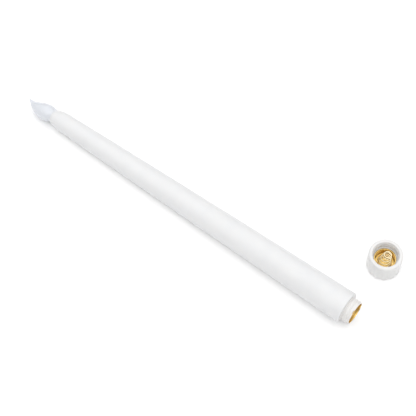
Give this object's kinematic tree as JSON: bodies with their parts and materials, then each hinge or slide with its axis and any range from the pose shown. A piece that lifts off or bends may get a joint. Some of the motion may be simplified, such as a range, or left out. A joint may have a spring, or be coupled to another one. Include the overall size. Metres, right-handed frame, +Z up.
{
  "type": "battery taper candle",
  "caption": "Flameless taper candle lying on its side: tapered shell, flame bulb, threaded neck over two cells, and its fluted screw cap with a sprung contact standing beside it.",
  "frame": {"origin": "centre of the screw cap's flat base, on the ground", "axes": "+Z up; +X level, from the candle's flame end towards its threaded neck; +Y from the candle towards its cap"},
  "size_m": [0.2807, 0.067, 0.0219],
  "materials": {
    "shell_plastic": "satin white moulded plastic",
    "tube_plastic": "satin warm-white plastic",
    "cap_plastic": "satin white moulded plastic",
    "bulb_plastic": "translucent milky plastic",
    "brass": "drawn brass sheet",
    "spring_brass": "bright brass-plated spring wire",
    "nickel": "nickel plate",
    "cell_can": null,
    "cell_jacket": "printed film without lettering",
    "board": "green solder mask",
    "chip_resin": "black potting resin",
    "chip_ceramic": "chip resistor body",
    "capacitor_ceramic": "chip capacitor body",
    "carrier_plastic": "plain white plastic",
    "led_resin": "warm clear epoxy",
    "solder": "solder",
    "red_wire": "insulated wire",
    "black_wire": "insulated wire"
  },
  "bodies": {
    "candle": {"outer_shell": "shell_plastic", "battery_tube": "tube_plastic", "neck_sleeve": "brass", "negative_strip": "brass", "rear_cell": "cell_can", "front_cell": "cell_can", "rear_cell_jacket": "cell_jacket", "front_cell_jacket": "cell_jacket", "contact_plug": "tube_plastic", "positive_contact": "nickel", "circuit_board": "board", "flicker_chip": "chip_resin", "resistor": "chip_ceramic", "capacitor": "capacitor_ceramic", "led_carrier": "carrier_plastic", "led": "led_resin", "led_leads": "nickel", "solder_joints": "solder", "positive_wire": "red_wire", "negative_wire": "black_wire", "flame_bulb": "bulb_plastic"},
    "spring": {"contact_spring": "spring_brass"},
    "contact": {"contact_cup": "brass"},
    "cap": {"screw_cap": "cap_plastic"}
  },
  "joints": [
    {"name": "cap_swing", "type": "hinge", "parent": "candle", "child": "spring", "pos_m": [0.00659, -0.02224, 0.01692], "axis": [0.6989, 0.1943, -0.6883], "range_deg": [0, 201.67]},
    {"name": "cap_travel", "type": "slide", "parent": "spring", "child": "contact", "axis": [0, 0, 1], "range_m": [0, 0.00676], "deforming": ["contact_spring"]},
    {"name": "cap_turn", "type": "hinge", "parent": "contact", "child": "cap", "pos_m": [0, 0, 0], "axis": [0, 0, 1], "range_deg": [0, 1215]}
  ],
  "couplings": [
    {"joint": "cap_travel", "follows": "cap_turn", "m_per_rad": 0.00031831}
  ]
}
